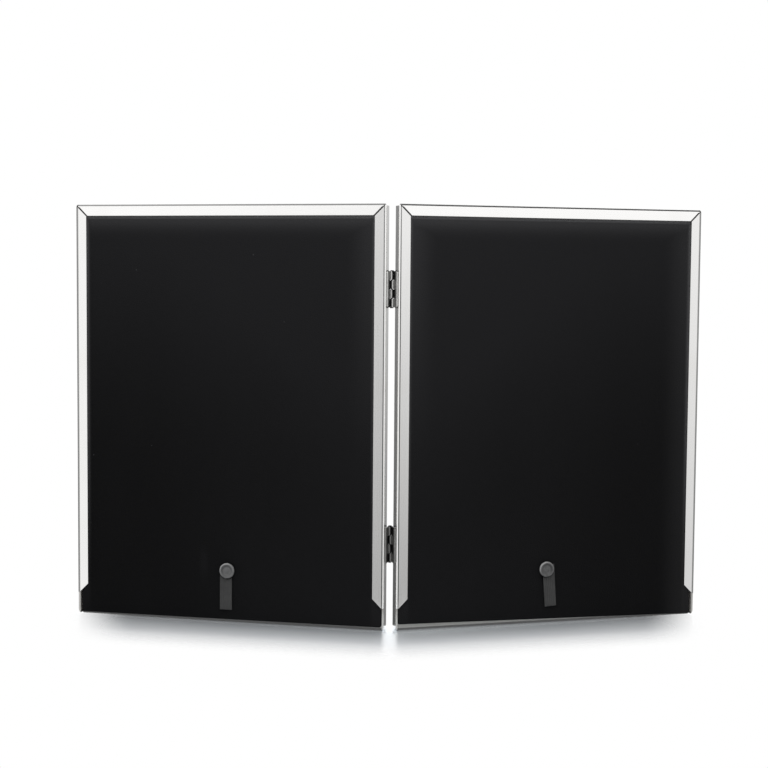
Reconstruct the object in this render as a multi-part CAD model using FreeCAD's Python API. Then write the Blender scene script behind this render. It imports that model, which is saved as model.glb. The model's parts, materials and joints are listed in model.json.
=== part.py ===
import FreeCAD, Part
import math
import os

# Hinged double photo frame for two 13 x 18 cm prints, standing open in a shallow V.
# Each leaf is a shallow tray folded from bright sheet metal. It holds glass, a locating mat, the
# print, a filler card and a velour-covered board, which a strap on a stud pulls out at the bottom.
# Two small butt hinges join the leaves at their front edges, so that they close face to face.
# Millimetres, +Z up, backs of the leaves towards -Y, origin on the table in the middle of the footprint.

V = FreeCAD.Vector

# The print and the frame round it
print_width = 130.0
print_height = 180.0
window_overlap = 1.5
side_border = 19.25
end_border = 19.0
rest_angle = 151.3
cut_overrun = 5.0

# Folded sheet-metal tray
sheet = 1.0
bend_radius = 1.2
top_corner_radius = 1.0
base_corner_radius = 2.4
window_bevel = 0.5
flange_width = 5.8
flange_end_height = 11.6
seam_width = 0.5

# What the tray holds, from the front to the back
glass_thickness = 2.0
mat_thickness = 0.4
print_thickness = 0.25
print_gap = 0.4
filler_thickness = 0.9
pane_gap = 0.5

# Board with its velour, which slides out behind the bottom wall
board_thickness = 1.8
board_corner_radius = 1.2
velour_thickness = 0.4
board_play = 0.15
board_side_gap = 0.7
board_top_gap = 0.6
left_foot_height = 1.1
right_foot_height = 0.8
left_foot_rise = 0.5
right_foot_rise = 2.5
left_board_shift = 0.2
right_board_shift = 0.5

# Stud that holds the pull strap to the board
left_stud_height = 27.05
right_stud_height = 28.4
left_stud_offset = -0.1
right_stud_offset = 1.35
shank_radius = 1.2
shank_clearance = 0.05
cap_radius = 3.95
cap_edge_height = 0.5
cap_rim_rise = 0.5
cap_bevel_width = 0.5
cap_crest_width = 0.35
cap_slope_width = 0.75
cap_groove_depth = 0.25
cap_dome_rise = 0.3
cap_lift = 0.1
washer_radius = 3.0
washer_thickness = 0.4

# Pull strap, one band folded double
strap_width = 6.2
left_strap_offset = 0.9
right_strap_offset = 1.1
ply_thickness = 0.4
ply_gap = 0.12
strap_lift = 0.1
left_strap_reach = 20.6
right_strap_reach = 19.8
left_strap_tilt = 0.0
right_strap_tilt = 4.0

# Butt hinges
hinge_length = 18.2
upper_hinge_inset = 42.5
lower_hinge_inset = 43.4
plate_thickness = 0.65
plate_reach = 6.0
plate_corner_radius = 0.8
knuckle_count = 4
knuckle_gap = 0.25
knuckle_relief = 0.3
roll_slit = 0.5
roll_corner = 0.6
pin_radius = 0.6
pin_clearance = 0.05
pin_head_radius = 0.95
pin_head_height = 0.4
front_standoff = 0.4

# Window and outline of a leaf
window_width = print_width - 2 * window_overlap
window_height = print_height - 2 * window_overlap
leaf_width = window_width + 2 * side_border
leaf_height = window_height + 2 * end_border

# Depths in a leaf, from its back plane forward
leaf_depth = (
    2 * sheet + glass_thickness + mat_thickness + filler_thickness
    + board_thickness + velour_thickness + 2 * board_play
)
glass_front = leaf_depth - sheet
glass_back = glass_front - glass_thickness
mat_back = glass_back - mat_thickness
filler_back = mat_back - filler_thickness
board_front = filler_back - board_play
board_back = board_front - board_thickness
velour_back = board_back - velour_thickness
strap_front = velour_back - strap_lift
strap_back = strap_front - 2 * ply_thickness - ply_gap
cap_front = strap_back - cap_lift

# The V and the hinge axis
half_fold = (180 - rest_angle) / 2
lean = math.radians(half_fold)
barrel_radius = pin_radius + pin_clearance + plate_thickness
wall_gap = 2 * barrel_radius
rearmost = (
    (wall_gap / 2 + bend_radius) * math.sin(lean)
    - (front_standoff + leaf_depth - bend_radius) * math.cos(lean) - bend_radius
)
foremost = (
    (wall_gap / 2 + leaf_width - bend_radius) * math.sin(lean)
    - (front_standoff + bend_radius) * math.cos(lean) + bend_radius
)
axis_y = -(rearmost + foremost) / 2

# What differs between the leaves, named as they stand in front of someone behind the frame
sides = {"left": -1, "right": 1}
board_shifts = {"left": left_board_shift, "right": right_board_shift}
foot_heights = {"left": left_foot_height, "right": right_foot_height}
foot_rises = {"left": left_foot_rise, "right": right_foot_rise}
stud_offsets = {"left": left_stud_offset, "right": right_stud_offset}
stud_heights = {"left": left_stud_height, "right": right_stud_height}
strap_offsets = {"left": left_strap_offset, "right": right_strap_offset}
strap_reaches = {"left": left_strap_reach, "right": right_strap_reach}
strap_tilts = {"left": left_strap_tilt, "right": right_strap_tilt}

# A leaf is drawn as the right-hand one, laid flat: x from the outer face of its hinge-side wall,
# y from its back plane forward, z up from the table. A hinge is drawn with its axis on the origin.


def block(x_from, x_to, y_from, y_to, z_from, z_to):
    """A box between two places along each axis."""
    return Part.makeBox(x_to - x_from, y_to - y_from, z_to - z_from, V(x_from, y_from, z_from))


def prism(outline, y_from, y_to):
    """The flat outline of (x, z) points carried from one depth to another."""
    corners = [V(x, y_from, z) for x, z in outline]
    face = Part.Face(Part.makePolygon(corners + corners[:1]))
    return face.extrude(V(0, y_to - y_from, 0))


def bar(middle, radius, y_from, y_to):
    """A round bar along the depth."""
    return Part.makeCylinder(radius, y_to - y_from, V(middle.x, y_from, middle.z), V(0, 1, 0))


def depth_edges(shape, low, high):
    """The straight edges along the depth whose height lies between two heights."""
    found = []
    for edge in shape.Edges:
        box = edge.BoundBox
        if box.YLength > box.XLength + box.ZLength and low < box.Center.z < high:
            found.append(edge)
    return found


def swing(shape, side):
    """Turn a flat-laid piece about the hinge axis to the lean of its leaf, and put the axis in its place."""
    turned = shape.rotated(V(0, 0, 0), V(0, 0, 1), side * half_fold)
    return turned.translated(V(0, axis_y, 0))


def stand(shape, side):
    """Set a piece of the flat right-hand leaf in its own leaf of the V."""
    placed = shape.translated(V(wall_gap / 2, -front_standoff - leaf_depth, 0))
    if side < 0:
        placed = placed.mirror(V(0, 0, 0), V(1, 0, 0))
    return swing(placed, side)


# Tray


def rounded_slab():
    """The outside of the tray, with round corners and the radius of the bend at every fold."""
    slab = block(0, leaf_width, 0, leaf_depth, 0, leaf_height)
    slab = slab.makeFillet(top_corner_radius, depth_edges(slab, leaf_height / 2, leaf_height + sheet))
    slab = slab.makeFillet(base_corner_radius, depth_edges(slab, -sheet, leaf_height / 2))
    folds = [edge for edge in slab.Edges if edge.BoundBox.YLength < leaf_depth / 2]
    return slab.makeFillet(bend_radius, folds)


def back_opening():
    """What is open at the back: between the flanges, and all below their slanted ends."""
    inner_end = flange_end_height + flange_width - sheet
    between = block(
        flange_width, leaf_width - flange_width, -cut_overrun, sheet,
        -cut_overrun, leaf_height - flange_width
    )
    below = prism(
        [
            (-cut_overrun, -cut_overrun),
            (leaf_width + cut_overrun, -cut_overrun),
            (leaf_width + cut_overrun, flange_end_height),
            (leaf_width - sheet, flange_end_height),
            (leaf_width - flange_width, inner_end),
            (flange_width, inner_end),
            (sheet, flange_end_height),
            (-cut_overrun, flange_end_height),
        ],
        -cut_overrun, bend_radius
    )
    return between.fuse(below)


def mitre_seams():
    """The open seams where the top flange meets the side flanges."""
    half = seam_width / 2 * math.sqrt(2)
    seam = prism(
        [
            (sheet - half, leaf_height - sheet),
            (flange_width, leaf_height - flange_width - half),
            (flange_width + half, leaf_height - flange_width),
            (sheet, leaf_height - sheet + half),
        ],
        -cut_overrun, sheet
    )
    return seam.fuse(seam.mirror(V(leaf_width / 2, 0, 0), V(1, 0, 0)))


def window_rim(tray):
    """The edges round the window in the face of the front."""
    found = []
    for edge in tray.Edges:
        box = edge.BoundBox
        in_face = box.YMin > leaf_depth - sheet / 2
        if in_face and side_border / 2 < box.XMin and box.XMax < leaf_width - side_border / 2:
            found.append(edge)
    return found


def frame_tray():
    """Front with its window, four walls, and flanges over the back at the top and the sides."""
    cuts = [
        block(sheet, leaf_width - sheet, sheet, glass_front, sheet, leaf_height - sheet),
        block(
            side_border, leaf_width - side_border, sheet, leaf_depth + cut_overrun,
            end_border, leaf_height - end_border
        ),
        block(sheet, leaf_width - sheet, -cut_overrun, filler_back, -cut_overrun, 2 * sheet),
        back_opening(),
        mitre_seams(),
    ]
    tray = rounded_slab()
    for cut in cuts:
        tray = tray.cut(cut)
    tray = tray.removeSplitter()
    return tray.makeChamfer(window_bevel, window_rim(tray))


# Glass, mat, print and filler


def pane(y_from, y_to):
    """A flat piece that fills the tray and stands on its bottom wall."""
    edge = sheet + pane_gap
    return block(edge, leaf_width - edge, y_from, y_to, sheet, leaf_height - edge)


def print_space(margin, y_from, y_to):
    """The place of the print behind the window, with a margin round it."""
    x_from = side_border - window_overlap - margin
    z_from = end_border - window_overlap - margin
    return block(x_from, leaf_width - x_from, y_from, y_to, z_from, leaf_height - z_from)


def print_card():
    """The print, against the back of the glass."""
    return print_space(0, glass_back - print_thickness, glass_back)


def locating_mat():
    """The card whose cut-out keeps the print behind the window."""
    return pane(mat_back, glass_back).cut(print_space(print_gap, mat_back, glass_back))


# Board and velour


def board_outline(name, inset, y_from):
    """The covered board less an inset all round, its foot cut a little out of square."""
    edge = sheet + board_side_gap + inset
    hinge_side = edge - board_shifts[name]
    outer_side = leaf_width - edge - board_shifts[name]
    foot = foot_heights[name] + inset
    top = leaf_height - sheet - board_top_gap - inset
    outline = prism(
        [
            (hinge_side, foot + foot_rises[name]),
            (outer_side, foot),
            (outer_side, top),
            (hinge_side, top),
        ],
        y_from, board_front
    )
    return outline.makeFillet(board_corner_radius - inset, depth_edges(outline, 0, leaf_height))


def stud_middle(name):
    """Where the stud stands, a little off the middle of the board's width."""
    return V(leaf_width / 2 - board_shifts[name] - stud_offsets[name], 0, stud_heights[name])


def shank_hole(middle, y_from, y_to):
    """A hole in which the shank of the stud fits."""
    return bar(middle, shank_radius + shank_clearance, y_from - cut_overrun, y_to + cut_overrun)


def back_board(name, middle):
    """Stiff board with a hole for the shank and a seat for its washer."""
    seat = bar(middle, washer_radius + shank_clearance, board_front - washer_thickness, filler_back)
    board = board_outline(name, velour_thickness, board_back)
    return board.cut(shank_hole(middle, board_back, board_front)).cut(seat)


def velour_cover(name, middle):
    """Velour over the back of the board, turned round its four edges."""
    cover = board_outline(name, 0, velour_back).cut(board_outline(name, velour_thickness, board_back))
    return cover.cut(shank_hole(middle, velour_back, board_front))


# Stud with its washer, and the strap


def stud(middle):
    """Cap with a raised rim, a sunk ring and a low dome, on the shank that is clinched in the board."""
    cap_edge = cap_front - cap_edge_height
    rim_top = cap_edge - cap_rim_rise
    groove = rim_top + cap_groove_depth
    dome_top = groove - cap_dome_rise
    crest_edge = cap_radius - cap_bevel_width
    slope_top = crest_edge - cap_crest_width
    dome_foot = slope_top - cap_slope_width
    dome_radius = (dome_foot ** 2 + cap_dome_rise ** 2) / (2 * cap_dome_rise)
    half_turn = math.asin(dome_foot / dome_radius) / 2
    dome_half = dome_top + dome_radius * (1 - math.cos(half_turn))

    def at(radius, depth):
        return V(middle.x + radius, depth, middle.z)

    outline = [
        Part.LineSegment(at(0, board_front), at(shank_radius, board_front)),
        Part.LineSegment(at(shank_radius, board_front), at(shank_radius, cap_front)),
        Part.LineSegment(at(shank_radius, cap_front), at(cap_radius, cap_front)),
        Part.LineSegment(at(cap_radius, cap_front), at(cap_radius, cap_edge)),
        Part.LineSegment(at(cap_radius, cap_edge), at(crest_edge, rim_top)),
        Part.LineSegment(at(crest_edge, rim_top), at(slope_top, rim_top)),
        Part.LineSegment(at(slope_top, rim_top), at(dome_foot, groove)),
        Part.Arc(
            at(dome_foot, groove),
            at(dome_radius * math.sin(half_turn), dome_half),
            at(0, dome_top)
        ),
        Part.LineSegment(at(0, dome_top), at(0, board_front)),
    ]
    profile = Part.Face(Part.Wire([line.toShape() for line in outline]))
    return profile.revolve(middle, V(0, 1, 0), 360)


def stud_washer(middle):
    """Ring under the clinched end of the shank, let into the front of the board."""
    ring = bar(middle, washer_radius, board_front - washer_thickness, board_front)
    return ring.cut(shank_hole(middle, board_front - washer_thickness, board_front))


def pull_strap(middle, offset, reach, tilt):
    """A band folded double at its lower end, both round upper ends on the shank, a little off centre."""
    band_middle = middle + V(offset, 0, 0)
    half_width = strap_width / 2
    half_thick = (strap_front - strap_back) / 2
    fold_z = middle.z - reach + half_thick
    gap_from = strap_back + ply_thickness
    edge_from = band_middle.x - half_width
    plies = block(edge_from, edge_from + strap_width, strap_back, strap_front, fold_z, middle.z)
    fold = Part.makeCylinder(
        half_thick, strap_width, V(edge_from, strap_back + half_thick, fold_z), V(1, 0, 0)
    )
    gap = block(
        band_middle.x - strap_width, band_middle.x + strap_width, gap_from, gap_from + ply_gap,
        fold_z, middle.z + strap_width
    )
    strap = plies.fuse([fold, bar(band_middle, half_width, strap_back, strap_front)])
    strap = strap.cut(gap).cut(shank_hole(middle, strap_back, strap_front)).removeSplitter()
    return strap.rotated(middle, V(0, 1, 0), -tilt)


# Hinges


def rear_corners(plate):
    """The two short edges of a plate's rear end, across its thickness."""
    found = []
    for edge in plate.Edges:
        box = edge.BoundBox
        if box.XLength > box.YLength + box.ZLength and box.YMax < -plate_reach / 2:
            found.append(edge)
    return found


def roll_opening(inner, start, end):
    """What stays open between a knuckle's plate and the end of its roll, whose corners are cut off."""
    roll_end = inner - roll_slit
    corner_end = roll_end - roll_corner
    return prism(
        [
            (inner, start),
            (corner_end, start),
            (roll_end, start + roll_corner),
            (roll_end, end - roll_corner),
            (corner_end, end),
            (inner, end),
        ],
        -wall_gap, 0
    )


def hinge_plate(side, z_from):
    """A plate against the wall of a leaf, its front edge rolled into every other knuckle."""
    z_to = z_from + hinge_length
    pitch = hinge_length / knuckle_count
    inner = barrel_radius - plate_thickness
    plate = block(inner, barrel_radius, -plate_reach, 0, z_from, z_to)
    plate = plate.makeFillet(plate_corner_radius, rear_corners(plate))
    openings = []
    for index in range(knuckle_count):
        start = z_from + index * pitch + knuckle_gap / 2
        end = start + pitch - knuckle_gap
        is_own = (index % 2 == 0) == (side < 0)
        if is_own:
            plate = plate.fuse(Part.makeCylinder(barrel_radius, end - start, V(0, 0, start)))
            openings.append(roll_opening(inner, start, end))
        else:
            room = block(
                0, wall_gap, -barrel_radius - knuckle_relief, wall_gap,
                start - knuckle_gap, end + knuckle_gap
            )
            plate = plate.cut(room)
    bore = Part.makeCylinder(
        pin_radius + pin_clearance, hinge_length + 2 * cut_overrun, V(0, 0, z_from - cut_overrun)
    )
    plate = plate.cut([bore] + openings).removeSplitter()
    if side < 0:
        plate = plate.mirror(V(0, 0, 0), V(1, 0, 0))
    return plate


def pin_head(z_from, outward):
    """A low head with a bevelled rim on one end of the pin."""
    head = Part.makeCylinder(pin_head_radius, pin_head_height, V(0, 0, z_from), V(0, 0, outward))
    rim = [edge for edge in head.Edges if outward * (edge.BoundBox.Center.z - z_from) > pin_head_height / 2]
    return head.makeChamfer(pin_head_height / 2, rim)


def hinge_pin(z_from):
    """Pin through the four knuckles, headed at both ends."""
    z_to = z_from + hinge_length
    shaft = Part.makeCylinder(pin_radius, hinge_length, V(0, 0, z_from))
    return shaft.fuse([pin_head(z_from, -1), pin_head(z_to, 1)]).removeSplitter()


# All the pieces, each in its place


def leaf_pieces(name):
    """What one leaf is made of, drawn flat."""
    middle = stud_middle(name)
    strap = pull_strap(middle, strap_offsets[name], strap_reaches[name], strap_tilts[name])
    return {
        "frame_tray": frame_tray(),
        "glass": pane(glass_back, glass_front),
        "locating_mat": locating_mat(),
        "print_card": print_card(),
        "filler_card": pane(filler_back, mat_back),
        "back_board": back_board(name, middle),
        "velour_cover": velour_cover(name, middle),
        "stud": stud(middle),
        "stud_washer": stud_washer(middle),
        "pull_strap": strap,
    }


pieces = {}
for name, side in sides.items():
    for piece, shape in leaf_pieces(name).items():
        pieces[f"{name}_{piece}"] = stand(shape, side)

hinge_heights = {"upper": leaf_height - upper_hinge_inset, "lower": lower_hinge_inset}
for level, height in hinge_heights.items():
    hinge_base = height - hinge_length / 2
    for name, side in sides.items():
        pieces[f"{level}_hinge_{name}_plate"] = swing(hinge_plate(side, hinge_base), side)
    pieces[f"{level}_hinge_pin"] = swing(hinge_pin(hinge_base), 0)

os.makedirs("parts", exist_ok=True)
for node, shape in pieces.items():
    if not shape.isValid() or len(shape.Solids) != 1:
        print("not one valid solid:", node)
    shape.exportStep(f"parts/{node}.step")
print("pieces", len(pieces), "leaf depth", round(leaf_depth, 3), "hinge axis at y", round(axis_y, 4))
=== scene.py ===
import json
import math

import bmesh
import bpy
from mathutils import Matrix, Vector


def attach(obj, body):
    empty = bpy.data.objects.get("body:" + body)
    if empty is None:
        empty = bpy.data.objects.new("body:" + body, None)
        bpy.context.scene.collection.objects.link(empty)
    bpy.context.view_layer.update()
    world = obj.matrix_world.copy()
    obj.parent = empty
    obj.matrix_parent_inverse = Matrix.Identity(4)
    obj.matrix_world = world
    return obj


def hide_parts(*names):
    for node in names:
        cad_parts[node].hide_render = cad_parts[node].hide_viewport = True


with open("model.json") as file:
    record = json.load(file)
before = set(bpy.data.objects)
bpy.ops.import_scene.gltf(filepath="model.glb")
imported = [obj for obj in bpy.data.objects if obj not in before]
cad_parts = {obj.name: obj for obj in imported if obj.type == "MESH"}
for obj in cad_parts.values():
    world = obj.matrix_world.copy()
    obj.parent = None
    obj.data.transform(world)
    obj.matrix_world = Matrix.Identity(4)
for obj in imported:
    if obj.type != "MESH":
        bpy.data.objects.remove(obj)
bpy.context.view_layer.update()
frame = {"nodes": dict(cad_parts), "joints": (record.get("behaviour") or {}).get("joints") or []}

# The two trays: each leaf is a shallow tray folded from silver-plated brass sheet, 1 mm thick.
# The plate is polished along each strip, so the grain runs down the sides and along the top,
# and changes direction on the mitre of every corner.

leaf_width = 0.1655
leaf_height = 0.215
leaf_depth = 0.0078
sheet_metal = 0.001
half_gap = 0.0013
front_standoff = 0.0004
flange_foot = 0.0117
outer_face = sheet_metal * 0.7
foot_wall_top = sheet_metal * 1.2
foot_wall_rear = 0.0035
cut_slack = 0.0001
fold_line = 0.0014
foot_edge_shade_depth = 0.00126
foot_edge_shade_width = 0.0011
seam_reach = 0.00038
seam_offset = 0.0004
seam_start = 0.0014
top_flange_tip = math.radians(2.5)
joints = {joint["name"]: joint for joint in frame["joints"]}
hinge_axis = Vector(joints["fold"]["pos_m"])
right_stud_axis = joints["right_tab_swivel"]["axis"]
lean = math.atan2(right_stud_axis[0], -right_stud_axis[1])
silver_colour = (0.90, 0.895, 0.885, 1)
silver_tarnish = (0.80, 0.78, 0.745, 1)
# The next three colours: painted shade on the outer fold, painted shade on the feet of the walls, and
# the dark of the open seams, which is also painted on the bottom edge as shade.
fold_shade = (0.29, 0.29, 0.285, 1)
foot_edge_shade_colour = (0.50, 0.49, 0.47, 1)
seam_and_shade_colour = (0.15, 0.148, 0.145, 1)
tarnish_edge = (0.52, 0.78)
tarnish_share = 0.35
plate_roughness = 0.12
streak_roughness = 0.08
cut_roughness = 0.3
grain_stretch = 90
grain_height = 0.000006
streak_stretch = 14
streak_height = 0.000004


class Wire:
    """A value that runs through a finish's nodes. Arithmetic on it adds Math nodes."""

    def __init__(self, finish, socket):
        self.finish = finish
        self.socket = socket

    def maths(self, operation, *others):
        values = dict(enumerate((self, *others)))
        return self.finish.node("Math", {"operation": operation}, values)

    def __add__(self, other):
        return self.maths("ADD", other)

    def __radd__(self, other):
        return self.maths("ADD", other)

    def __sub__(self, other):
        return self.maths("SUBTRACT", other)

    def __rsub__(self, other):
        return self.finish.node("Math", {"operation": "SUBTRACT"}, {0: other, 1: self})

    def __mul__(self, other):
        return self.maths("MULTIPLY", other)

    def __rmul__(self, other):
        return self.maths("MULTIPLY", other)

    def __truediv__(self, other):
        return self.maths("DIVIDE", other)

    def __pow__(self, other):
        return self.maths("POWER", other)

    def __abs__(self):
        return self.maths("ABSOLUTE")

    def above(self, other):
        return self.maths("GREATER_THAN", other)

    def below(self, other):
        return 1 - self.above(other)

    def least(self, other):
        return self.maths("MINIMUM", other)

    def most(self, other):
        return self.maths("MAXIMUM", other)

    def fade(self, start, end):
        """0 before start, 1 after end, and a smooth change between them."""
        return self.finish.node(
            "MapRange",
            {"interpolation_type": "SMOOTHSTEP"},
            {"Value": self, "From Min": start, "From Max": end},
        )

    def fade_out(self, start, end):
        """1 before start, 0 after end, and a smooth change between them."""
        return 1 - self.fade(start, end)


class Finish:
    """A material or world, with a method that adds any node and one for each common sum."""

    def __init__(self, holder):
        self.holder = holder
        holder.use_nodes = True
        self.tree = holder.node_tree
        self.tree.nodes.clear()

    def node(self, kind, settings, sockets, output=0):
        made = self.tree.nodes.new("ShaderNode" + kind)
        for name, value in settings.items():
            if name == "stops":
                self.set_stops(made.color_ramp.elements, value)
            else:
                setattr(made, name, value)
        for name, value in sockets.items():
            if isinstance(value, Wire):
                self.tree.links.new(value.socket, made.inputs[name])
            else:
                made.inputs[name].default_value = value
        return Wire(self, made.outputs[output]) if made.outputs else made

    def set_stops(self, elements, stops):
        """Grey stops of a ramp, as pairs of a place from 0 to 1 and a level."""
        while len(elements) < len(stops):
            elements.new(1.0)
        for element, (place, level) in zip(elements, stops):
            element.position = place
            element.color = (level, level, level, 1)

    def blend(self, share, first, second):
        """A colour between two, by a share from 0 to 1."""
        sockets = {"Factor": share, 6: first, 7: second}
        return self.node("Mix", {"data_type": "RGBA"}, sockets, output=2)

    def parts(self, spot):
        """The three coordinates of a point or a direction."""
        return [self.node("SeparateXYZ", {}, {0: spot}, output=axis) for axis in "XYZ"]

    def place(self):
        """The three coordinates of a point on the piece, in the shared frame at rest."""
        return self.parts(self.node("TexCoord", {}, {}, output="Object"))

    def point(self, x, y, z):
        return self.node("CombineXYZ", {}, {"X": x, "Y": y, "Z": z})

    def noise(self, spot, scale, detail=2.0, roughness=0.5):
        sockets = {"Vector": spot, "Scale": scale, "Detail": detail, "Roughness": roughness}
        return self.node("TexNoise", {}, sockets)

    def bump(self, height, distance, strength=1.0):
        sockets = {"Height": height, "Distance": distance, "Strength": strength}
        return self.node("Bump", {}, sockets)

    def principled(self, **sockets):
        named = {name.replace("_", " "): value for name, value in sockets.items()}
        shader = self.node("BsdfPrincipled", {}, named)
        self.node("OutputMaterial", {}, {"Surface": shader})
        return self


def finish(name):
    return Finish(bpy.data.materials.new(name))


def leaf_place(made):
    """How far a point lies from its leaf's hinge-side wall, from its back and from the table."""
    x, y, z = made.place()
    across, forward = abs(x), y - hinge_axis.y
    from_hinge = across * math.cos(lean) + forward * math.sin(lean) - half_gap
    from_back = forward * math.cos(lean) - across * math.sin(lean) + front_standoff + leaf_depth
    return from_hinge, from_back, z


def silver_plate():
    """Bright plate with random tarnish, painted darker as shade on the outer fold, the feet of the
    walls and the bottom edge, and dark along its open seams.
    """
    made = finish("silver_plate")
    from_hinge, from_back, height = leaf_place(made)
    to_side = from_hinge.least(leaf_width - from_hinge)
    to_end = height.least(leaf_height - height)
    on_end_strip = to_side.above(to_end)
    along = height + (from_hinge - height) * on_end_strip
    across = from_hinge + (height - from_hinge) * on_end_strip

    def drawn_out(stretch):
        return made.point(across * stretch, from_back * stretch, along)

    grain = made.noise(drawn_out(grain_stretch), scale=50, detail=3, roughness=0.6)
    streaks = made.noise(drawn_out(streak_stretch), scale=40)
    clouds = made.noise(made.point(from_hinge, from_back, height), scale=28)
    in_upper_half = height.above(leaf_height / 2)
    top_flange = on_end_strip * in_upper_half * from_back.below(outer_face)
    tipped = (leaf_height - height) * top_flange * math.tan(top_flange_tip)
    # Painted shade: the back edges of the walls below the flange foot are darker, for the shadowed
    # table they mirror.
    foot_edge_shade = from_back.below(foot_edge_shade_depth) * to_side.least(to_end).below(foot_edge_shade_width)
    foot_edge_shade = foot_edge_shade * height.below(flange_foot)
    # Painted shade: the bottom wall's rear edge gets the seams' dark colour, for the shadowed table it
    # mirrors. The seams are real dark joints.
    bottom_edge_shade = height.below(foot_wall_top) * abs(from_back - foot_wall_rear).below(cut_slack)
    seam = abs(to_side - to_end - seam_offset).below(seam_reach) * in_upper_half
    seam = seam * to_end.above(seam_start) * from_back.below(sheet_metal + cut_slack)
    seam_and_edge_shade = bottom_edge_shade.most(seam)
    # Painted shade: the bend of the outer fold is darkened.
    outer_fold_shade = abs(leaf_width - fold_line / 2 - from_hinge).below(fold_line / 2)
    outer_fold_shade = outer_fold_shade * from_back.below(fold_line)
    tone = made.blend(clouds.fade(*tarnish_edge) * tarnish_share, silver_colour, silver_tarnish)
    tone = made.blend(outer_fold_shade, tone, fold_shade)
    tone = made.blend(foot_edge_shade, tone, foot_edge_shade_colour)
    return made.principled(
        Base_Color=made.blend(seam_and_edge_shade, tone, seam_and_shade_colour),
        Metallic=1.0,
        Roughness=plate_roughness + streaks * streak_roughness + seam_and_edge_shade * cut_roughness,
        Normal=made.bump(grain * grain_height + streaks * streak_height + tipped, distance=1.0),
    ).holder


def dress(nodes, material):
    """Give CAD nodes a finish."""
    for node in nodes:
        frame["nodes"][node].material_slots[0].material = material


sides = {"left": -1, "right": 1}
dress([f"{side}_frame_tray" for side in sides], silver_plate())

# The glass: a 2 mm pane in each tray, against the inside of the front.
# It lies loose behind the window and is held by the stack of cards and the board.

glass_tint = (0.955, 0.975, 0.968, 1)
glass_shine = (1, 1, 1, 1)
glass_roughness = 0.02
glass_index = 1.52


def picture_glass():
    """Clear from straight ahead, and a mirror where it is seen at a slant."""
    made = finish("picture_glass")
    shine = made.node(
        "BsdfPrincipled",
        {},
        {"Base Color": glass_shine, "Metallic": 1.0, "Roughness": glass_roughness},
    )
    clear = made.node("BsdfTransparent", {}, {"Color": glass_tint})
    slant = made.node("Fresnel", {}, {"IOR": glass_index})
    shader = made.node("MixShader", {}, {0: slant, 1: clear, 2: shine})
    made.node("OutputMaterial", {}, {"Surface": shader})
    return made.holder


dress([f"{side}_glass" for side in sides], picture_glass())

# The cards in each tray: a locating mat round the print, the blank print itself, and a filler card.
# They are cut from sheet stock and lie loose between the glass and the board.

# For each card: its finish, its colour, the colour of its darker patches, and how much fibre shows.
card_stock = {
    "locating_mat": ("mat_card", (0.72, 0.70, 0.64, 1), (0.58, 0.56, 0.50, 1), 0.3),
    "print_card": ("print_paper", (0.86, 0.86, 0.84, 1), (0.80, 0.80, 0.785, 1), 0.1),
    "filler_card": ("filler_card", (0.74, 0.73, 0.70, 1), (0.62, 0.61, 0.58, 1), 0.5),
}
mottle_share = 0.5
card_roughness = 0.75
fibre_roughness = 0.15
fibre_height = 0.00003


def card(name, colour, shade, fleck):
    """Pressed paper stock: a soft mottle with fine fibres in it."""
    made = finish(name)
    spot = made.point(*made.place())
    mottle = made.noise(spot, scale=60, detail=3)
    fibres = made.noise(spot, scale=2200, detail=4, roughness=0.7)
    return made.principled(
        Base_Color=made.blend(mottle * mottle_share + fibres * fleck, colour, shade),
        Roughness=card_roughness + fibres * fibre_roughness,
        Normal=made.bump(fibres, fibre_height, strength=0.5),
    ).holder


for kind, stock in card_stock.items():
    dress([f"{side}_{kind}" for side in sides], card(*stock))

# The back boards: stiff black board, which closes the back and slides out at the bottom.
# Only its front and its cut edges are bare, because velour is glued over the rest.

board_black = (0.035, 0.034, 0.033, 1)
board_shade = (0.02, 0.02, 0.02, 1)
board_fleck = 0.4
dress(
    [f"{side}_back_board" for side in sides],
    card("back_board", board_black, board_shade, board_fleck),
)

# The velour covers: short-piled black cloth glued over each board's back and round its edges.
# The nap is a little uneven and has picked up specks of lint and a scuff. Its colour is painted paler
# towards the top, near the hinge and beside the flanges: painted light, where it catches the light.

flange_width = 0.0058
board_side_gap = 0.0007
board_top_gap = 0.0006
board_front = 0.00335
board_shift = {"left": 0.0002, "right": 0.0005}
foot_height = {"left": 0.0011, "right": 0.0008}
foot_rise = {"left": 0.0005, "right": 0.0025}
velour_back = 0.00115
velour_thickness = 0.0004
velour_corner = 0.0012
velour_turn = 0.0006
corner_steps = 6
turn_steps = 5
# Colours: black pile, its paler tone for the nap and painted sheen, lint, and a painted glow of light
# off the metal.
velour_black = (0.0028, 0.0028, 0.0029, 1)
velour_nap_and_sheen = (0.0108, 0.0108, 0.0116, 1)
velour_lint = (0.075, 0.075, 0.078, 1)
velour_painted_glow = (0.16, 0.16, 0.165, 1)
pile_height = 0.00022
pile_middle = 0.5
pile_share = 0.5
nap_stretch = 0.4
nap_share = 0.35
lint_scale = 130.0
lint_speck = (0.02, 0.05)
lint_rarity = 0.86
lint_share = 0.6
scuff_middle = (-0.0957, 0.0294)
scuff_size = (0.003, 0.011)
scuff_nap = (0.35, 0.7)
scuff_share = 0.5

# Where the cloth is painted paler for the light it catches, as the two ends of each fade, and by how
# much.
upward = (0.25, 1.05)
upward_share = 0.86
below_top = (-0.002, 0.024)
below_top_share = 2.6
near_hinge = (-0.1, 1.0)
near_hinge_share = 0.56
beside_flange = (-0.0002, 0.0026)
beside_flange_upward = (-0.04, 0.10)
beside_flange_share = 0.32
under_flange = (-0.0002, 0.0034)
top_glow = (-0.004, 0.015)
top_glow_share = 0.22
side_glow_reach = 0.016
hinge_side_glow_share = 0.07
right_side_glow_share = 0.065


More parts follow.
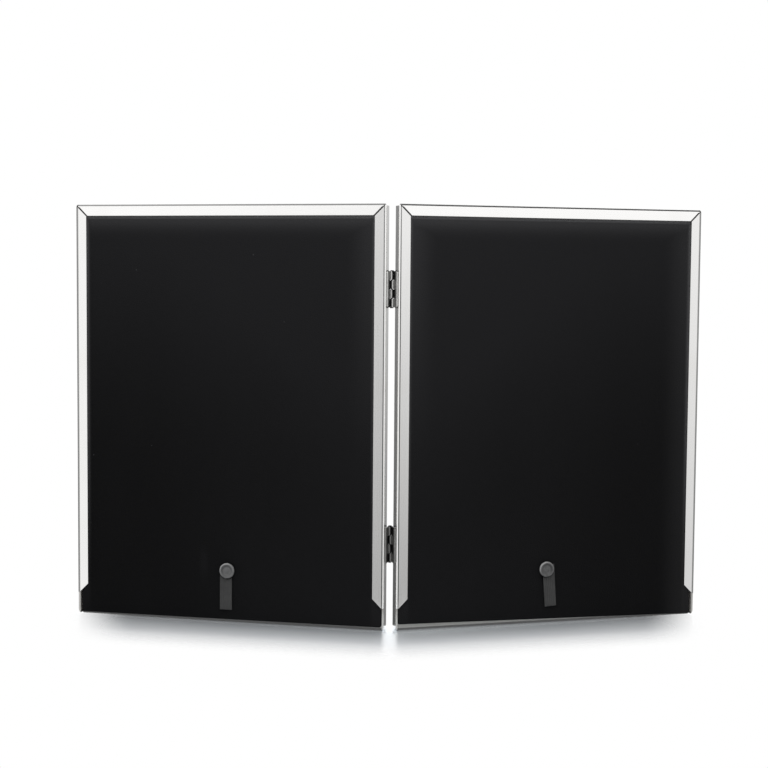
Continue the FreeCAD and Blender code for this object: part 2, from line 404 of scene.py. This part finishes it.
def leaf_matrix(side):
    """Carries a piece of the flat right-hand leaf to its leaf of the V, mirrored for the left one."""
    flat = Matrix.Translation((half_gap, -front_standoff - leaf_depth, 0))
    mirror = Matrix.Diagonal((sides[side], 1, 1, 1))
    turn = Matrix.Rotation(sides[side] * lean, 4, "Z")
    return Matrix.Translation((0, hinge_axis.y, 0)) @ turn @ mirror @ flat


def piece(name, mesh_maker, matrix, material, sharp_from=40):
    """A new piece from a function that fills a bmesh, smooth but for its sharp edges."""
    work = bmesh.new()
    mesh_maker(work)
    bmesh.ops.transform(work, matrix=matrix, verts=work.verts)
    bmesh.ops.recalc_face_normals(work, faces=work.faces)
    mesh = bpy.data.meshes.new(name)
    work.to_mesh(mesh)
    work.free()
    mesh.shade_smooth()
    mesh.set_sharp_from_angle(angle=math.radians(sharp_from))
    mesh.materials.append(material)
    made = bpy.data.objects.new(name, mesh)
    bpy.context.scene.collection.objects.link(made)
    return made


def rounded_outline(low_x, high_x, low_z, high_z, radius):
    """The points of a rectangle with round corners, anticlockwise from the lower right corner."""
    corners = [
        (high_x - radius, low_z + radius, -90),
        (high_x - radius, high_z - radius, 0),
        (low_x + radius, high_z - radius, 90),
        (low_x + radius, low_z + radius, 180),
    ]
    points = []
    for x, z, start in corners:
        for step in range(corner_steps + 1):
            angle = math.radians(start + 90 * step / corner_steps)
            points.append((x + radius * math.cos(angle), z + radius * math.sin(angle)))
    return points


def bridge(work, rings):
    """Faces between each ring of points and the next."""
    for lower, upper in zip(rings, rings[1:]):
        for index in range(len(lower)):
            after = (index + 1) % len(lower)
            work.faces.new((lower[index], lower[after], upper[after], upper[index]))


def velour_skin(side):
    """The cloth as a thin shell: over the back, round the edge on a soft turn, and down the sides."""
    edge = sheet_metal + board_side_gap
    shift = board_shift[side]
    low_x, high_x = edge - shift, leaf_width - edge - shift
    low_z, high_z = foot_height[side], leaf_height - sheet_metal - board_top_gap

    def fill(work):
        def lift(x, z):
            return foot_rise[side] * (high_x - x) / (high_x - low_x) * (high_z - z) / (high_z - low_z)

        def ring(inset, depth, radius):
            outline = rounded_outline(
                low_x + inset, high_x - inset, low_z + inset, high_z - inset, radius
            )
            return [work.verts.new((x, depth, z + lift(x, z))) for x, z in outline]

        inner = velour_thickness
        rings = [ring(inner, velour_back + inner, velour_corner - inner)]
        rings.append(ring(inner, board_front, velour_corner - inner))
        rings.append(ring(0, board_front, velour_corner))
        for step in range(turn_steps + 1):
            angle = math.radians(90 * step / turn_steps)
            inset = velour_turn * (1 - math.cos(angle))
            depth = velour_back + velour_turn * (1 - math.sin(angle))
            rings.append(ring(inset, depth, max(velour_corner - inset, velour_turn / 2)))
        bridge(work, rings)
        work.faces.new(rings[0])
        work.faces.new(reversed(rings[-1]))

    return fill


def velour():
    """Matte black pile with the nap's patches, painted sheen and a painted glow where it catches light,
    a scuff, and specks of lint over all of it.
    """
    made = finish("velour")
    from_hinge, from_back, height = leaf_place(made)
    x, y, z = made.place()
    spot = made.point(x, y, z)
    pile = made.noise(spot, scale=1500, detail=3, roughness=0.7)
    nap = made.noise(made.point(from_hinge, from_back, height * nap_stretch), scale=22, detail=3)

    cells = {"Vector": spot, "Scale": lint_scale}
    from_speck = made.node("TexVoronoi", {}, cells, output="Distance")
    lot = made.node("TexVoronoi", {}, cells, output="Color")
    chosen = made.node("SeparateColor", {}, {0: lot}, output=0).above(lint_rarity)
    lint = from_speck.fade_out(*lint_speck) * chosen
    scuff_x = (x - scuff_middle[0]) / scuff_size[0]
    scuff_z = (z - scuff_middle[1]) / scuff_size[1]
    scuff = (scuff_x * scuff_x + scuff_z * scuff_z).fade_out(0.0, 1.0) * nap.fade(*scuff_nap)

    to_top = leaf_height - flange_width - height
    risen = (height / leaf_height).fade(*upward)
    top_part = to_top.fade_out(*below_top)
    hinge_part = (from_hinge / leaf_width).fade_out(*near_hinge)
    # Painted sheen: paler towards the top, under the top flange and near the hinge, mixed with the
    # nap's random patches.
    nap_and_sheen = (
        risen * upward_share + nap * nap_share + (pile - pile_middle) * pile_share
        + top_part * top_part * below_top_share + hinge_part * near_hinge_share
    )
    colour = made.blend(nap_and_sheen + scuff * scuff_share, velour_black, velour_nap_and_sheen)

    # Painted light: a glow beside the flanges and under the top edge, where the cloth catches light off
    # the metal.
    to_flange = from_hinge.least(leaf_width - from_hinge) - flange_width
    edge_glow = to_flange.fade_out(*beside_flange) * height.fade(*beside_flange_upward)
    top_line = to_top.fade_out(*under_flange)
    top_band = to_top.fade_out(*top_glow)
    to_right_edge = leaf_width - flange_width - from_hinge + x.below(0.0) * leaf_width
    side_glow = (from_hinge - flange_width).fade_out(0.0, side_glow_reach) * risen * hinge_side_glow_share
    side_glow = side_glow.most(to_right_edge.fade_out(0.0, side_glow_reach) * right_side_glow_share)
    painted_glow = (edge_glow * edge_glow * beside_flange_share + side_glow).most(top_line * top_line)
    painted_glow = painted_glow.most(top_band * top_band * top_glow_share)
    colour = made.blend(painted_glow, colour, velour_painted_glow)
    return made.principled(
        Base_Color=made.blend(lint * lint_share, colour, velour_lint),
        Roughness=0.95,
        Specular_IOR_Level=0.12,
        Sheen_Weight=0.03,
        Sheen_Roughness=0.45,
        Sheen_Tint=(0.75, 0.76, 0.85, 1),
        Normal=made.bump(pile, pile_height),
    ).holder


velour_finish = velour()
for side in sides:
    cover = piece(f"{side}_velour", velour_skin(side), leaf_matrix(side), velour_finish)
    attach(cover, f"{side}_board")
    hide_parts(f"{side}_velour_cover")

# The pull straps: one ribbed band each, folded double, with both ends on the shank of the stud.
# The left one hangs straight. The right one hangs at a slant, and its rear ply shows beside it.

strap_width = 0.0062
strap_offset = {"left": 0.0009, "right": 0.0011}
strap_ply = 0.0004
strap_front = 0.00105
strap_back = 0.00013
strap_above_stud = strap_width / 3
strap_reach = {"left": 0.0206, "right": 0.0198}
strap_tilt = {"left": 0.0, "right": math.radians(4.0)}
strap_ply_offset = {"left": 0.0, "right": 0.0005}
strap_ribs = 6
strap_rows = 14
strap_fold_steps = 9
strap_sharp_from = 60
columns_per_rib = 8
rib_depth = 0.00014
selvedge_thinness = 0.62
stud_height = {"left": 0.02705, "right": 0.0284}
stud_offset = {"left": -0.0001, "right": 0.00135}
cap_radius = 0.00395
cap_drop = 0.0004
cap_shade_width = 0.0004
band_dark = (0.0245, 0.0245, 0.0248, 1)
band_light = (0.0675, 0.0675, 0.0670, 1)
# Black for a painted shadow just under the stud's cap.
band_cap_shadow = (0.004, 0.004, 0.004, 1)
thread_scale = 520.0
thread_wander = 0.6
thread_share = 0.35
fuzz_share = 0.4
wear_share = 0.4
thread_relief = 0.6
band_relief = 0.00005


def strap_band(side):
    """A band with rounded edges and ribs, carried down one ply, round the fold and up the other."""
    thick = strap_front - strap_back
    turn = (thick - strap_ply) / 2
    middle_y = (strap_front + strap_back) / 2
    fold_z = -strap_reach[side] + thick / 2

    def fill(work):
        path = []
        for step in range(strap_rows + 1):
            z = strap_above_stud + (fold_z - strap_above_stud) * step / strap_rows
            path.append((middle_y - turn, z, 0, -1))
        for step in range(1, strap_fold_steps):
            angle = math.radians(180 * step / strap_fold_steps)
            path.append((
                middle_y - turn * math.cos(angle), fold_z - turn * math.sin(angle),
                -math.sin(angle), -math.cos(angle),
            ))
        for step in range(strap_rows + 1):
            z = fold_z + (strap_above_stud - fold_z) * step / strap_rows
            path.append((middle_y + turn, z, 0, 1))
        columns = strap_ribs * columns_per_rib
        rings = []
        for index, (y, z, slope_z, slope_y) in enumerate(path):
            back_share = index / (len(path) - 1)
            offset = strap_ply_offset[side] * back_share
            ring = []
            for face in (1, -1):
                for column in range(columns + 1):
                    share = column / columns * face + (1 - face) / 2
                    x = (share - 0.5) * strap_width + strap_offset[side]
                    rib = math.cos(2 * math.pi * strap_ribs * share)
                    rim = min(share, 1 - share) * columns
                    thin = 1 if rim >= 1 else selvedge_thinness
                    half = strap_ply / 2 * thin - rib_depth * (1 - rib) / 2
                    ring.append(work.verts.new((
                        x + offset, y + face * half * slope_y, z + face * half * slope_z
                    )))
            rings.append(ring)
        bridge(work, rings)
        work.faces.new(rings[0])
        work.faces.new(reversed(rings[-1]))

    return fill


def from_stud(side, from_hinge, height, drop=0.0):
    """How far a point in a leaf lies from the middle of its stud, or from a point a little below."""
    across = from_hinge - (leaf_width / 2 - board_shift[side] - stud_offset[side])
    up = height - (stud_height[side] - drop)
    return (across * across + up * up) ** 0.5


def strap_finish(side):
    """Dark grey weave, a little worn, and black just under the stud's cap as a painted shadow of the
    cap.
    """
    made = finish(f"strap_band_{side}")
    from_hinge, from_back, height = leaf_place(made)
    leaf_spot = made.point(from_hinge, from_back, height)
    threads = made.node(
        "TexWave",
        {"wave_type": "BANDS", "bands_direction": "Z"},
        {"Vector": leaf_spot, "Scale": thread_scale, "Distortion": thread_wander},
    )
    spot = made.point(*made.place())
    fuzz = made.noise(spot, scale=3000, detail=3, roughness=0.7)
    wear = made.noise(spot, scale=180)
    shade = threads * thread_share + fuzz * fuzz_share + wear * wear_share
    # Painted shadow: black on the band just under the cap's edge, centred a little below the stud.
    from_cap = from_stud(side, from_hinge, height, cap_drop)
    cap_shadow = from_cap.fade_out(cap_radius, cap_radius + cap_shade_width)
    woven = made.blend(shade, band_dark, band_light)
    return made.principled(
        Base_Color=made.blend(cap_shadow, woven, band_cap_shadow),
        Roughness=0.8,
        Specular_IOR_Level=0.3,
        Sheen_Weight=0.1,
        Normal=made.bump(threads * thread_relief + fuzz, band_relief),
    ).holder


def stud_place(side):
    """The leaf's own frame moved to the middle of its stud, at the back plane."""
    off_centre = board_shift[side] + stud_offset[side]
    middle = Vector((leaf_width / 2 - off_centre, 0, stud_height[side]))
    return leaf_matrix(side) @ Matrix.Translation(middle)


for side in sides:
    hung = stud_place(side) @ Matrix.Rotation(-strap_tilt[side], 4, "Y")
    strap = piece(f"{side}_strap", strap_band(side), hung, strap_finish(side), strap_sharp_from)
    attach(strap, f"{side}_tab")
    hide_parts(f"{side}_pull_strap")

# The studs: dark grey caps with a raised rim, a sunk ring and a low dome, turned with their shanks.
# The shank goes through strap, velour and board, and is clinched over a steel washer in front.

cap_front = 0.00003
cap_edge = 0.0005
cap_chamfer = 0.00012
shank_radius = 0.0012
rim_height = 0.0005
rim_width = 0.00085
rim_start = 10
rim_sweep = 145
rim_steps = 8
rim_lip = 0.00022
rim_lip_curve = 1.5
ring_depth = 0.00028
ring_outer = cap_radius - 0.0019
ring_inner = cap_radius - 0.0022
dome_height = 0.0002
dome_steps = 6
stud_turns = 72
stud_sharp_from = 50
stud_grey = (0.115, 0.1155, 0.1165, 1)
stud_worn = (0.20, 0.2005, 0.2015, 1)
stud_tone = {"left": 1.0, "right": 0.58}
# A painted highlight for the rim, then a dark for grime and painted shade in the sunk ring.
stud_rim_highlight = (0.36, 0.36, 0.36, 1)
stud_grime_and_shade = (0.035, 0.035, 0.036, 1)
stud_relief = 0.00002
stud_roughness = 0.42
stud_grain_roughness = 0.18
washer_dark = (0.42, 0.42, 0.42, 1)
washer_light = (0.55, 0.55, 0.54, 1)
washer_relief = 0.00001
steel_roughness = 0.3
steel_grain_roughness = 0.2

# Where rim and ring begin and end, as shares of the cap's radius, how much painted highlight the rim
# gets, and how much grime and painted shade the ring gets.
ring_begins = (0.45, 0.62)
ring_ends = (0.66, 0.80)
rim_begins = (0.80, 0.92)
towards_top = (-1.2, 0.6)
towards_left = (-1.1, 0.4)
ring_shade_at_top = 0.75
grime_at_foot = 0.1
grime_patches = 1.4
shine_at_top = 0.85
shine_at_foot = 0.12
worn_patch = (0.35, 0.85)
worn_share = 0.5
stud_grain_share = 0.25


def stud_turned(work):
    """The stud's profile from the clinched end of the shank to the middle of the dome, turned."""
    profile = [
        (0, board_front), (shank_radius, board_front), (shank_radius, cap_front),
        (cap_radius - cap_chamfer, cap_front), (cap_radius, cap_front - cap_chamfer),
    ]
    for step in range(rim_steps + 1):
        angle = math.radians(rim_start + rim_sweep * step / rim_steps)
        profile.append((
            cap_radius - rim_width + rim_width * math.cos(angle - math.radians(rim_start)),
            cap_front - cap_edge - rim_height * math.sin(min(angle, math.pi / 2))
            + rim_lip * max(0, -math.cos(angle)) ** rim_lip_curve,
        ))
    ring_floor = cap_front - cap_edge - rim_height + ring_depth
    profile += [(ring_outer, ring_floor), (ring_inner, ring_floor)]
    for step in range(1, dome_steps + 1):
        share = step / dome_steps
        dome = ring_floor - dome_height * math.sin(share * math.pi / 2)
        profile.append((ring_inner * (1 - share), dome))
    rings = []
    for radius, depth in profile[1:-1]:
        rings.append([
            work.verts.new((
                radius * math.cos(2 * math.pi * turn / stud_turns), depth,
                radius * math.sin(2 * math.pi * turn / stud_turns),
            ))
            for turn in range(stud_turns)
        ])
    bridge(work, rings)
    work.faces.new(rings[0])
    top = work.verts.new((0, profile[-1][1], 0))
    for turn in range(stud_turns):
        work.faces.new((rings[-1][turn], rings[-1][(turn + 1) % stud_turns], top))


def stud_finish(side):
    """Dark satin metal worn in patches, with a painted highlight on the rim towards the top left, and
    grime and painted shade in the sunk ring, heaviest near its top.
    """
    made = finish(f"stud_metal_{side}")
    x, y, z = made.place()
    spot = made.point(x, y, z)
    from_hinge, _, height = leaf_place(made)
    grain = made.noise(spot, scale=4200, detail=3, roughness=0.65)
    patches = made.noise(spot, scale=620, detail=3)
    stud_x = joints[f"{side}_tab_swivel"]["pos_m"][0]
    outward = from_stud(side, from_hinge, height) / cap_radius
    at_top = ((height - stud_height[side]) / cap_radius).fade(*towards_top)
    at_left = ((stud_x - x) / cap_radius).fade(*towards_left)
    in_ring = outward.fade(*ring_begins) * outward.fade_out(*ring_ends)
    # Grime in the sunk ring, with painted shade heavier near the top, where the rim shades it.
    grime_and_shade = in_ring * (at_top * ring_shade_at_top + grime_at_foot)
    grime_and_shade = grime_and_shade * (patches * grime_patches).least(1.0)
    # Painted highlight on the rim, brightest towards the top left.
    rim_highlight = outward.fade(*rim_begins) * (at_top * at_left * shine_at_top + shine_at_foot)
    grey = [level * stud_tone[side] for level in stud_grey[:3]] + [1]
    tone = patches.fade(*worn_patch) * worn_share + grain * stud_grain_share
    colour = made.blend(tone, grey, stud_worn)
    colour = made.blend(rim_highlight, colour, stud_rim_highlight)
    return made.principled(
        Base_Color=made.blend(grime_and_shade, colour, stud_grime_and_shade),
        Metallic=0.35,
        Roughness=stud_roughness + grain * stud_grain_roughness,
        Normal=made.bump(grain, stud_relief),
    ).holder


def bare_steel(name, dark, light, relief, **grain_looks):
    """Steel with an even grain and no plating."""
    made = finish(name)
    grain = made.noise(made.point(*made.place()), **grain_looks)
    return made.principled(
        Base_Color=made.blend(grain, dark, light),
        Metallic=1.0,
        Roughness=steel_roughness + grain * steel_grain_roughness,
        Normal=made.bump(grain, relief),
    ).holder


for side in sides:
    stud = piece(
        f"{side}_stud_turned", stud_turned, stud_place(side), stud_finish(side), stud_sharp_from
    )
    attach(stud, f"{side}_board")
    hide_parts(f"{side}_stud")
dress(
    [f"{side}_stud_washer" for side in sides],
    bare_steel("washer_steel", washer_dark, washer_light, washer_relief, scale=2600, detail=3),
)

# The hinges: two small butt hinges of satin steel, soldered by their plates to the side walls.
# Each plate is rolled into two knuckles that stay a little open, round a headed pin painted near black
# as shade.

roll_depth = 0.0016
plate_rear = 0.00545
knuckle_pair = 0.0091
lower_hinge_base = 0.0343
upper_hinge_base = 0.1634
# Plate colours: dull steel; a lighter face tone, painted light; a painted highlight; a darker tone for
# the lower hinge; and black, painted shade.
hinge_dull = (0.20, 0.198, 0.193, 1)
hinge_face = (0.31, 0.308, 0.30, 1)
hinge_bright = (0.80, 0.795, 0.78, 1)
hinge_lower_dark = (0.14, 0.138, 0.132, 1)
hinge_slit_shade = (0.012, 0.012, 0.012, 1)
hinge_relief = 0.00002
hinge_grain = {"scale": 1400, "detail": 4, "roughness": 0.65}
rubbed_patch = (0.4, 0.7)
rubbed_share = 0.3
crest_rises = (0.00095, 0.00125)
crest_shine = 0.9
rear_shine = 0.62
lower_hinge_dark_share = 0.75
less_at_rear = 0.15
slit_shade_across = (-0.0002, 0.0001)
slit_shade_fades = (-0.0002, 0.0004)
slit_shade_past_roll = 0.0018
slit_shade_share = 0.95
hinge_metallic = 0.55
crest_less_metallic = 0.35
# The pins: steel painted near black, as the shade inside the knuckles.
pin_shade_dark = (0.03, 0.03, 0.032, 1)
pin_shade_light = (0.08, 0.08, 0.08, 1)


def hinge_plate_finish(side):
    """Satin steel rubbed in patches, painted lighter on the plate faces in alternate rows, with painted
    highlights on the crests and rear edges, painted shade in black where a roll ends beside its plate,
    and darker all over on the lower hinge.
    """
    made = finish(f"hinge_metal_{side}")
    x, y, z = made.place()
    spot = made.point(x, y, z)
    grain = made.noise(spot, **hinge_grain)
    rubbed = made.noise(spot, scale=420, detail=3).fade(*rubbed_patch)
    towards_own = x * sides[side]
    behind_axis = hinge_axis.y - y
    is_upper = z.above(leaf_height / 2)
    base = is_upper * (upper_hinge_base - lower_hinge_base) + lower_hinge_base
    odd_row = ((z - base) / knuckle_pair).maths("FRACT").above(0.5)
    own_row = odd_row if sides[side] > 0 else 1 - odd_row
    # Painted shade: black where a roll ends beside its plate, reaching further along the plate in
    # alternate rows.
    slit_shade_end = own_row * slit_shade_past_roll + roll_depth
    slit_shade = towards_own.fade(*slit_shade_across) * (behind_axis - slit_shade_end).fade_out(*slit_shade_fades)
    on_plate = behind_axis.above(roll_depth)
    crest = behind_axis.fade(*crest_rises) * (1 - on_plate)
    rear = behind_axis.above(plate_rear)
    # Painted light: the plate's face is lighter in alternate rows, and the crests and rear edges carry
    # a painted highlight.
    tone = made.blend(on_plate * (1 - own_row) + rubbed * rubbed_share, hinge_dull, hinge_face)
    tone = made.blend((crest * crest_shine).most(rear * rear_shine), tone, hinge_bright)
    # The lower hinge is darker all over, a little less on its rear edges.
    lower_dark = (1 - is_upper) * (lower_hinge_dark_share - rear * less_at_rear)
    tone = made.blend(lower_dark, tone, hinge_lower_dark)
    return made.principled(
        Base_Color=made.blend(slit_shade * slit_shade_share, tone, hinge_slit_shade),
        Metallic=hinge_metallic - crest * crest_less_metallic,
        Roughness=steel_roughness + grain * steel_grain_roughness,
        Normal=made.bump(grain, hinge_relief),
    ).holder


hinges = ("upper", "lower")
for side in sides:
    dress([f"{hinge}_hinge_{side}_plate" for hinge in hinges], hinge_plate_finish(side))
dress(
    [f"{hinge}_hinge_pin" for hinge in hinges],
    bare_steel("pin_steel", pin_shade_dark, pin_shade_light, hinge_relief, **hinge_grain),
)

# The studio: a pale glossy table that keeps a soft shadow and a short mirror image, white all
# round it, and a broad lamp over the backs and one over the fronts. The metal doesn't mirror
# the lamps, but bright and dark bands that only gloss and glass see.

floor_reach = 0.6
# Near the leaves the table is painted a bluish grey, a painted shadow added to the one the lamps cast.
table_shaded_near = (0.80, 0.84, 0.88, 1)
table_far = (0.97, 0.97, 0.97, 1)
table_roughness = 0.22

# How far behind the leaves shadow and mirror image end, and how they fade towards the outer ends.
shadow_ends = (0.022, 0.062)
mirror_ends = 0.033
mirror_share = 0.69
front_haste = 12.0
past_end_fade = (-0.030, 0.008)
past_end_slant = 0.5
outer_part = (0.4, 1.0)
outer_paleness = 0.07


def table_top():
    """A glossy sheet near the leaves' backs, painted a bluish grey as shade close to them, that fades
    out to the white round it, sooner in front.
    """
    made = finish("table_top")
    from_hinge, from_back, _ = leaf_place(made)
    away = ((from_back - leaf_depth) * front_haste).most(0 - from_back).most(0.0)
    past_end = (from_hinge - leaf_width + away * past_end_slant).fade(*past_end_fade)
    paler = (from_hinge / leaf_width).fade(*outer_part) * outer_paleness
    bare = 1 - away.fade_out(*shadow_ends) * (1 - past_end) * (1 - paler)
    surface = made.node(
        "BsdfPrincipled",
        {},
        {
            "Base Color": made.blend(away / shadow_ends[1], table_shaded_near, table_far),
            "Metallic": mirror_share * (1 - away / mirror_ends).most(0.0),
            "Roughness": table_roughness,
        },
    )
    clear = made.node("BsdfTransparent", {}, {})
    shader = made.node("MixShader", {}, {0: bare, 1: surface, 2: clear})
    made.node("OutputMaterial", {}, {"Surface": shader})
    return made.holder


def table_sheet(work):
    bmesh.ops.create_grid(work, x_segments=1, y_segments=1, size=floor_reach)


table = piece("table", table_sheet, Matrix.Identity(4), table_top())

# What polished metal sees all round, as pairs of a bearing in degrees and a level. Bearing 0 is
# straight behind the camera, and 180 is the white backdrop.
seen_level = [
    (-180, 1.0), (-166, 1.0), (-156, 0.27), (-144, 0.25), (-132, 0.10), (-112, 0.10), (-96, 1.0),
    (-60, 1.1), (-37, 1.02), (-27, 0.80), (-19, 0.12), (-3, 0.12), (10, 0.12), (20, 0.30), (27, 0.96),
    (33, 1.0), (43, 0.93), (60, 1.1), (96, 1.0), (112, 0.10), (132, 0.10), (146, 0.61), (158, 0.61),
    (166, 1.0), (180, 1.0),
]
seen_level_below = [
    (-180, 1.0), (-166, 1.0), (-156, 0.10), (-144, 0.09), (-132, 0.06), (-112, 0.06), (-96, 0.9),
    (-60, 1.0), (-37, 1.0), (-27, 0.38), (-19, 0.06), (22, 0.06), (31, 0.42), (42, 0.72), (60, 0.90),
    (96, 0.85), (112, 0.06), (132, 0.06), (146, 0.20), (158, 0.20), (166, 1.0), (180, 1.0),
]

# How far above the table, in degrees, each ring of the surroundings gives way to the next one up.
level_begins, level_ends = -12.0, 3.0
band_rises = (4.0, 9.0)
band_level = 1.15
overhead_rises = (30.0, 40.0)
overhead_level = 0.22
overhead_slant = 0.35
overhead_least = 0.08
plain_level = 0.45
white = (1, 1, 1, 1)
full_turn = 360
in_degrees = 180 / math.pi


def round_the_room(made, bearing, levels):
    stops = [((angle + full_turn / 2) / full_turn, level) for angle, level in levels]
    return made.node("ValToRGB", {"stops": stops}, {0: bearing / full_turn + 0.5})


def studio_light():
    """White for the camera, a plain level for the light on the object, and soft boxes for its gloss."""
    made = Finish(bpy.context.scene.world)
    x, y, z = made.parts(made.node("TexCoord", {}, {}, output="Generated"))
    bearing = x.maths("ARCTAN2", 0 - y) * in_degrees
    raised = z.maths("ARCSINE") * in_degrees
    ahead = round_the_room(made, bearing, seen_level)
    below = round_the_room(made, bearing, seen_level_below)
    rise = made.node(
        "MapRange", {}, {"Value": raised, "From Min": level_begins, "From Max": level_ends}
    )
    level = below + (ahead - below) * rise
    level = level + (band_level - level) * raised.fade(*band_rises)
    overhead = (overhead_level - x * overhead_slant).most(overhead_least)
    level = level + (overhead - level) * raised.fade(*overhead_rises)
    gloss = made.node("LightPath", {}, {}, output="Is Glossy Ray")
    through = made.node("LightPath", {}, {}, output="Is Transmission Ray")
    seen = made.node("LightPath", {}, {}, output="Is Camera Ray")
    strength = plain_level + (level - plain_level) * gloss.most(through)
    strength = strength + (1 - strength) * seen
    sky = made.node("Background", {}, {"Color": white, "Strength": strength})
    made.node("OutputWorld", {}, {"Surface": sky})


if bpy.context.scene.world is None:
    bpy.context.scene.world = bpy.data.worlds.new("studio")
studio_light()

lamp_size = 0.30
lamp_target = Vector((0, 0, 0.1))


def lamp(name, place, watts):
    """A square area lamp that faces the object, and isn't mirrored in the metal."""
    light = bpy.data.lights.new(name, "AREA")
    light.size = lamp_size
    light.energy = watts
    made = bpy.data.objects.new(name, light)
    made.location = place
    made.rotation_euler = (lamp_target - Vector(place)).to_track_quat("-Z", "Y").to_euler()
    made.visible_glossy = False
    bpy.context.scene.collection.objects.link(made)


lamp("overhead", place=(0.0, -0.26, 0.50), watts=2.2)
lamp("in_front", place=(0.0, 0.36, 0.46), watts=3.0)

# The camera stands where the photograph was taken from, a little left of the hinge and a little
# below the top of the frame, and looks slightly down and to the right.

picture_pixels = 768
focal_pixels = 1522.8
sensor = 36
camera_place = (-0.02374, -0.78235, 0.17580)
camera_down = math.radians(3.81)
camera_right = math.radians(1.507)
camera_roll = math.radians(0.445)

eye = bpy.data.cameras.new("camera")
eye.sensor_width = sensor
eye.lens = sensor * focal_pixels / picture_pixels
camera = bpy.data.objects.new("camera", eye)
camera.matrix_world = (
    Matrix.Translation(camera_place)
    @ Matrix.Rotation(-camera_right, 4, "Z")
    @ Matrix.Rotation(math.radians(90) - camera_down, 4, "X")
    @ Matrix.Rotation(camera_roll, 4, "Z")
)
bpy.context.scene.collection.objects.link(camera)
bpy.context.scene.camera = camera
bpy.context.scene.view_settings.view_transform = "Standard"
